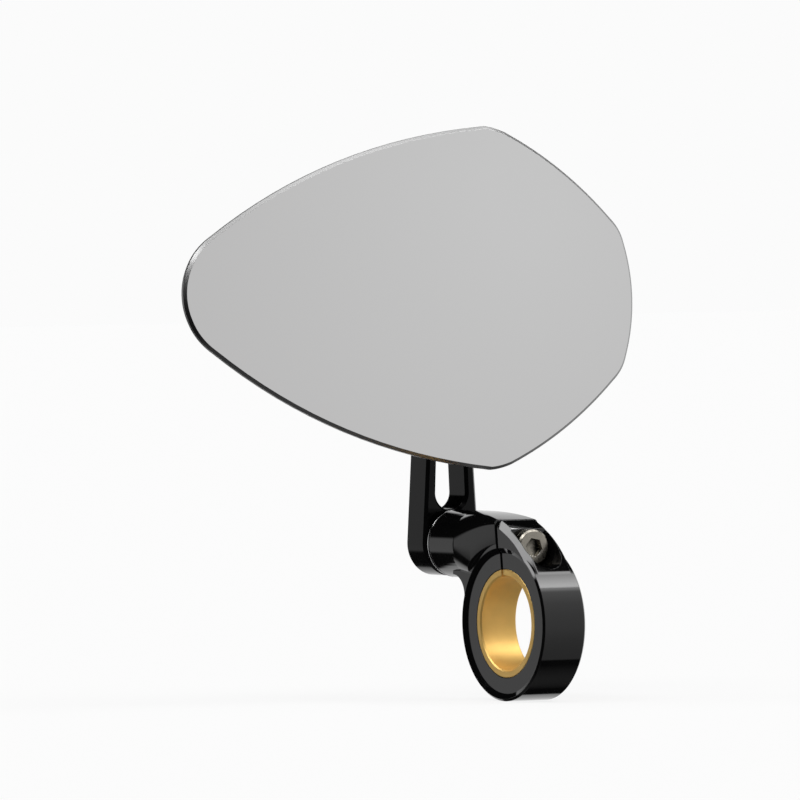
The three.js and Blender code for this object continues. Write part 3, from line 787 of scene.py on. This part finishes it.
def plate_outline():
    upper = [(PLATE_RIGHT, 0.0)]
    for control, end in PLATE_EDGE:
        upper += curve(upper[-1], control, end, 16)
    lower = [(x, -z) for x, z in reversed(upper[1:-1])]
    return upper + lower


def plate(name, levels):
    """Plate lofted through levels of (position, inset)."""
    outline = plate_outline()
    return loft(name, [[(x, y, z) for x, z in inset(outline, by)] for y, by in levels])


def reflector():
    levels = [(-17, 0.7), (-16.97, 0.66), (-16.42, 0.03), (-16.36, 0), (-15.6, 0), (-15.2, 0.4)]
    made = plate("reflector_look", levels)
    return place(made, "head", MIRROR, ["reflector"], head=True, smooth=20)


def back_shell():
    levels = [(-14.8, 2.3), (-14.7, 2.2), (-14.2, 2.2), (-14.1, 2.28), (-12.35, 4.65), (-12.2, 5.0)]
    made = plate("back_shell_look", levels)
    return place(made, "head", SHELL, ["back_shell"], head=True, smooth=20)


def hub_screw_places():
    angles = [math.radians(a) for a in (90, 210, 330)]
    return [(HUB_SCREW_CIRCLE * math.cos(a), 0, HUB_SCREW_CIRCLE * math.sin(a)) for a in angles]


def back_hub():
    section = [(2.5, -9.2), (8.9, -9.2), (9.6, -9.9), (9.6, -12.1), (4.8, -12.1), (4.8, -10.3), (2.5, -10.3)]
    profile = fillet(section, 0.15, steps=3, only=(0, 1, 2, 3))
    hub = lathe("back_hub_look", profile, "Y", segments=192)
    sink = [(0, -13), (1.45, -13), (1.45, -10.6), (2.55, -9.2), (2.6, -8), (0, -8)]
    for at in hub_screw_places():
        cut(hub, lathe("sink", sink, "Y", at, 48))
    return place(hub, "head", SHELL, ["back_hub"], head=True)


def hub_screws():
    section = [(0, -13.6), (0.9, -13.6), (1.2, -13.3), (1.2, -10.7), (2.2, -9.5), (2.2, -9.3), (0, -9.3)]
    profile = fillet(section, 0.06, closed=False, steps=2)
    for number, at in enumerate(hub_screw_places(), 1):
        name = "hub_screw_%d" % number
        screw = lathe(name + "_look", profile, "Y", at, 64)
        hexagon = lathe("hexagon", [(0, -8), (0.95, -8), (0.95, -9.95), (0, -10.25)], "Y", at, 6)
        place(cut(screw, hexagon), "head", STEEL, [name], head=True)


def ball_stud():
    first = math.asin(NECK_R / BALL_R)
    shaft = [(0, -12.0), (1.9, -12.0), (2.2, -11.7), (2.2, -8.5), (3.45, -8.5), (3.6, -8.35), (3.6, -7.35),
             (3.45, -7.2), (NECK_R + 0.25, -7.2), (NECK_R, -6.95)]
    turns = [first + (math.pi - first) * k / 40 for k in range(41)]
    ball = [(BALL_R * math.sin(a), -BALL_R * math.cos(a)) for a in turns]
    ball[-1] = (0, BALL_R)
    stud = lathe("ball_stud_look", shaft + ball, "Y", segments=128)
    return place(stud, "ball", BRIGHT, ["ball_stud"], head=True)


def roll_washer():
    washer = lathe("roll_washer_look", fillet(tube(*ROLL_WASHER), 0.06, steps=2), "Y", segments=96)
    return place(washer, "head", BRONZE, ["roll_washer"], head=True)


def carried_over():
    """Inner CAD nodes that stay, with a finish each."""
    for name, finish, slot in (("clamp_thread_insert", STEEL, "stainless"),
                               ("pivot_thread_insert", STEEL, "stainless"),
                               ("stud_lock_nut", STEEL, "stainless"),
                               ("bond_film", FILM, "bond")):
        obj = frame["nodes"][name]
        obj.data.materials.clear()
        obj.data.materials.append(finish)


clamp_body()
reducer_sleeve()
clamp_hardware()
mirror_arm()
arm_hardware()
ball_seat(-1)
ball_seat(1)
ball_stud()
roll_washer()
back_hub()
hub_screws()
back_shell()
reflector()
carried_over()

# ------------------------------------------------------------------ studio

BACKDROP = 0.965
FLOOR_SHADE, FLOOR_GLOW = 0.12, 0.85
SWEEP_FOOT_TURN, SWEEP_TOP_TURN = 0.2, 0.35

# Camera: azimuth, elevation and roll in degrees; how far the middle of its view is to the right of the bore's
# centre and above it, and its distance, in millimetres
CAMERA_ANGLES = (-31.65, 1.39, -0.56)
CAMERA_AIM = (-28.92, 52.21)
CAMERA_DISTANCE = 3747.0
CAMERA_LENS = 720

scene.view_settings.view_transform = "Standard"
scene.view_settings.look = "None"


def floor_material():
    """Pale floor that glows by itself, so the object's shadow on it stays faint."""
    material = bpy.data.materials.new("studio_floor")
    material.use_nodes = True
    shader = material.node_tree.nodes["Principled BSDF"]
    shader.inputs["Base Color"].default_value = (*[FLOOR_SHADE] * 3, 1)
    shader.inputs["Specular IOR Level"].default_value = 0.0
    shader.inputs["Roughness"].default_value = 0.9
    shader.inputs["Emission Color"].default_value = (1, 1, 1, 1)
    shader.inputs["Emission Strength"].default_value = FLOOR_GLOW
    return material


def studio_floor():
    """Floor at the lowest point of the part, only as a background: the part hangs on its bore."""
    level, reach = cad_low.z / MM, 4000
    corners = [(-reach, -reach), (reach, -reach), (reach, reach), (-reach, reach)]
    floor = new_object("studio_floor", [(x, y, level) for x, y in corners], [(0, 1, 2, 3)])
    floor.data.transform(Matrix.Scale(MM, 4))
    floor.data.materials.append(floor_material())
    floor.visible_glossy = False


class Sky:
    """World light: over every direction, the strongest of several soft-edged areas."""

    def __init__(self):
        world = bpy.data.worlds.new("studio")
        scene.world = world
        world.use_nodes = True
        self.tree = world.node_tree
        self.tree.nodes.clear()
        self.direction = node(self.tree, "ShaderNodeTexCoord").outputs["Generated"]
        self.total = None

    def math(self, operation, a, b=None):
        made = node(self.tree, "ShaderNodeMath", operation=operation)
        for slot, value in enumerate((a, b)):
            if isinstance(value, (int, float)):
                made.inputs[slot].default_value = value
            elif value is not None:
                self.tree.links.new(value, made.inputs[slot])
        return made.outputs[0]

    def along(self, azimuth, elevation):
        """Cosine between the direction and the way given in degrees; azimuth 0 is +Y, 90 is +X."""
        a, e = math.radians(azimuth), math.radians(elevation)
        dot = node(self.tree, "ShaderNodeVectorMath", operation="DOT_PRODUCT")
        dot.inputs[1].default_value = (math.sin(a) * math.cos(e), math.cos(a) * math.cos(e), math.sin(e))
        self.tree.links.new(self.direction, dot.inputs[0])
        return dot.outputs["Value"]

    def step(self, value, low, high):
        """0 up to low, 1 from high on, and a smooth change between them."""
        made = node(self.tree, "ShaderNodeMapRange", interpolation_type="SMOOTHSTEP")
        made.inputs["From Min"].default_value = low
        made.inputs["From Max"].default_value = high
        self.tree.links.new(value, made.inputs["Value"])
        return made.outputs["Result"]

    def column(self, azimuth, half_wide, stops, soft):
        """Light over a range of azimuths, with its strength at several elevations; the last goes on upwards."""
        ahead, right = self.along(azimuth, 0), self.along(azimuth + 90, 0)
        across = self.math("ABSOLUTE", self.math("ARCTAN2", right, ahead))
        half, edge = math.radians(half_wide), math.radians(soft)
        wide = self.step(across, half + edge / 2, half - edge / 2)
        ramp = node(self.tree, "ShaderNodeValToRGB")
        most = max(strength for _, strength in stops)
        elements = ramp.color_ramp.elements
        while len(elements) < len(stops):
            elements.new(1.0)
        for element, (degrees, strength) in zip(elements, stops):
            element.position = (degrees + 90) / 180
            element.color = (*[strength / most] * 3, 1)
        elevation = self.math("ARCSINE", self.along(0, 90))
        height = self.math("ADD", self.math("DIVIDE", elevation, math.pi), 0.5)
        self.tree.links.new(height, ramp.inputs["Fac"])
        self.add(self.math("MULTIPLY", self.math("MULTIPLY", ramp.outputs["Color"], wide), most))

    def sweep(self, azimuth, low, high, slope, side, top, rise):
        """White sweep under and behind the object.

        It starts at a slope below the horizon, in the way of the azimuth and a little less to its right, and
        ends at a height that rises towards that azimuth. Its strength goes from low to high towards it.
        """
        ahead, right, up = self.along(azimuth, 0), self.along(azimuth + 90, 0), self.along(0, 90)
        extra = self.math("MAXIMUM", right, 0.0)
        foot = self.math("ADD", self.math("MULTIPLY", ahead, slope), self.math("MULTIPLY", right, side))
        foot = self.math("ADD", foot, self.math("MULTIPLY", extra, SWEEP_FOOT_TURN))
        above = self.step(self.math("ADD", foot, up), -0.03, 0.03)
        turned_up = self.math("MULTIPLY", extra, SWEEP_TOP_TURN)
        limit = self.math("ADD", self.math("MULTIPLY", ahead, rise), turned_up)
        limit = self.math("ADD", limit, top)
        below = self.step(self.math("SUBTRACT", limit, up), -0.04, 0.04)
        strength = self.math("MULTIPLY", self.step(ahead, 0.5, 0.95), high - low)
        strength = self.math("ADD", strength, low)
        self.add(self.math("MULTIPLY", self.math("MULTIPLY", above, below), strength))

    def add(self, value):
        self.total = value if self.total is None else self.math("MAXIMUM", self.total, value)

    def finish(self):
        """Lights the scene with the sky; the camera itself sees the plain backdrop."""
        light = node(self.tree, "ShaderNodeBackground")
        self.tree.links.new(self.total, light.inputs["Color"])
        seen = node(self.tree, "ShaderNodeBackground", Color=(*[BACKDROP] * 3, 1))
        path = node(self.tree, "ShaderNodeLightPath")
        mix = node(self.tree, "ShaderNodeMixShader")
        out = node(self.tree, "ShaderNodeOutputWorld")
        self.tree.links.new(path.outputs["Is Camera Ray"], mix.inputs["Fac"])
        self.tree.links.new(light.outputs[0], mix.inputs[1])
        self.tree.links.new(seen.outputs[0], mix.inputs[2])
        self.tree.links.new(mix.outputs[0], out.inputs["Surface"])


def studio_light():
    """Sweep, wall light to the right, lamp over it, soft box on the left, and a ring of light overhead."""
    sky = Sky()
    sky.sweep(31.6, low=0.55, high=0.97, slope=0.75, side=0.12, top=-0.05, rise=0.48)
    sky.column(138, 24, [(-45, 0), (-44, 0.29), (-35, 0.32), (-20, 0.40), (-6, 0.53), (10, 0.60), (25, 0.72),
                         (39, 1.05), (42, 2.5)], soft=8)
    sky.column(113, 20, [(42, 0), (43.5, 6.8), (46, 6.6), (51.6, 4.9), (55.5, 3.4), (57, 0)], soft=3)
    sky.column(-90, 65, [(44.5, 0), (48, 5.5), (60, 5.5), (61.5, 0)], soft=3)
    sky.column(0, 181, [(-60, 0.12), (-50, 0.0), (64, 0.0), (70, 1.1)], soft=1)
    sky.finish()


def camera_at_photo():
    azimuth, elevation, roll = (math.radians(angle) for angle in CAMERA_ANGLES)
    flat = math.cos(elevation)
    back = Vector((math.sin(azimuth) * flat, -math.cos(azimuth) * flat, math.sin(elevation)))
    right = Vector((math.cos(azimuth), math.sin(azimuth), 0))
    up = back.cross(right)
    right, up = right * math.cos(roll) + up * math.sin(roll), up * math.cos(roll) - right * math.sin(roll)
    centre = right * CAMERA_AIM[0] + up * CAMERA_AIM[1]
    data = bpy.data.cameras.new("camera")
    data.lens = CAMERA_LENS
    data.sensor_width = 36
    data.clip_start, data.clip_end = 0.1, 50
    camera = bpy.data.objects.new("camera", data)
    turn = Matrix((right, up, back)).transposed().to_4x4()
    camera.matrix_world = Matrix.Translation((centre + back * CAMERA_DISTANCE) * MM) @ turn
    scene.collection.objects.link(camera)
    scene.camera = camera


studio_floor()
studio_light()
camera_at_photo()
